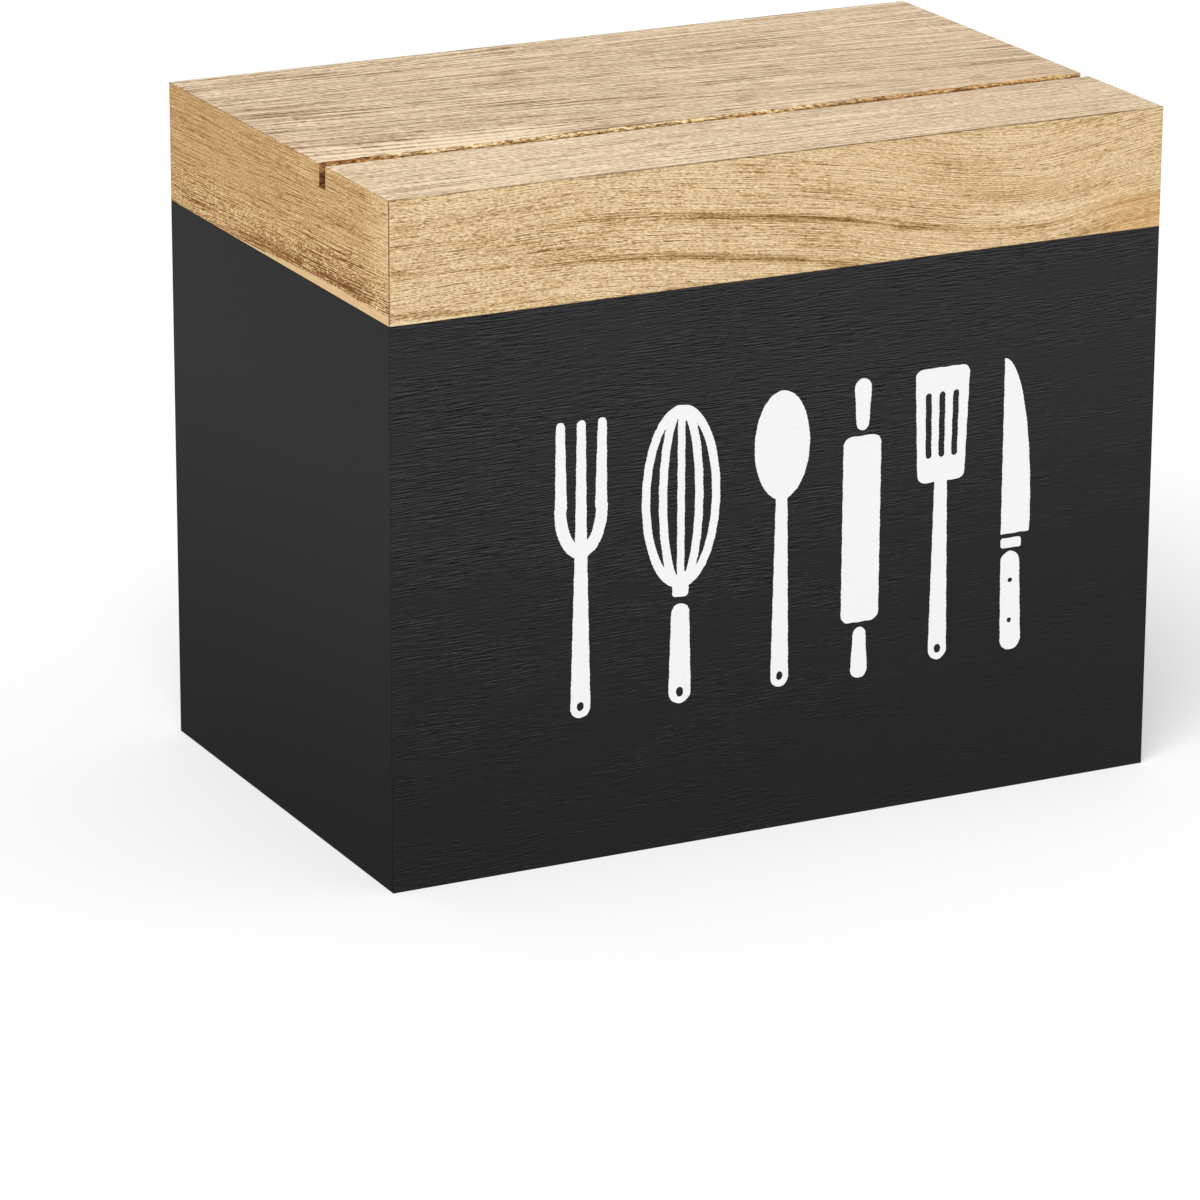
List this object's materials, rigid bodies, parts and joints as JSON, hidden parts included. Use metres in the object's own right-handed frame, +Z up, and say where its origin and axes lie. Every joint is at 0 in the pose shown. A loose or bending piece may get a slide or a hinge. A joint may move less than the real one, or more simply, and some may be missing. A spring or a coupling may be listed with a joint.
{
  "type": "recipe card box",
  "caption": "Rectangular wooden recipe card box: painted mitred case, thick hinged wooden lid with a sawn card groove across its top.",
  "frame": {"origin": "centre of the wooden case's footprint, on the surface that the box stands on", "axes": "+X to the right along the front, -Y out of the front face, +Z up; the lid's hinges are on the back, at +Y"},
  "size_m": [0.18, 0.1146, 0.147],
  "materials": {
    "black_paint": "thin satin black paint over open-grained wood",
    "top_wood": "pale oiled wood, straight grain with fine dark streaks",
    "rail_wood": "golden oiled wood with brown streaks",
    "white_paint": "matt white stencilled paint",
    "brass": "satin brass",
    "pin_steel": "plain steel wire",
    "magnet_nickel": "bright nickel plate"
  },
  "bodies": {
    "case": {"case_front": "black_paint", "case_back": "black_paint", "case_left": "black_paint", "case_right": "black_paint", "case_bottom": "black_paint", "left_hinge_case_leaf": "brass", "left_hinge_case_screws": "brass", "left_hinge_pin": "pin_steel", "right_hinge_case_leaf": "brass", "right_hinge_case_screws": "brass", "right_hinge_pin": "pin_steel", "left_case_magnet": "magnet_nickel", "right_case_magnet": "magnet_nickel"},
    "lid": {"lid_top": "top_wood", "lid_front": "rail_wood", "lid_back": "rail_wood", "lid_left": "rail_wood", "lid_right": "rail_wood", "left_hinge_lid_leaf": "brass", "left_hinge_lid_screws": "brass", "right_hinge_lid_leaf": "brass", "right_hinge_lid_screws": "brass", "left_lid_magnet": "magnet_nickel", "right_lid_magnet": "magnet_nickel"}
  },
  "joints": [
    {"name": "lid_hinge", "type": "hinge", "parent": "case", "child": "lid", "pos_m": [0, 0.05712, 0.121], "axis": [-1, 0, 0], "range_deg": [0, 105]}
  ]
}
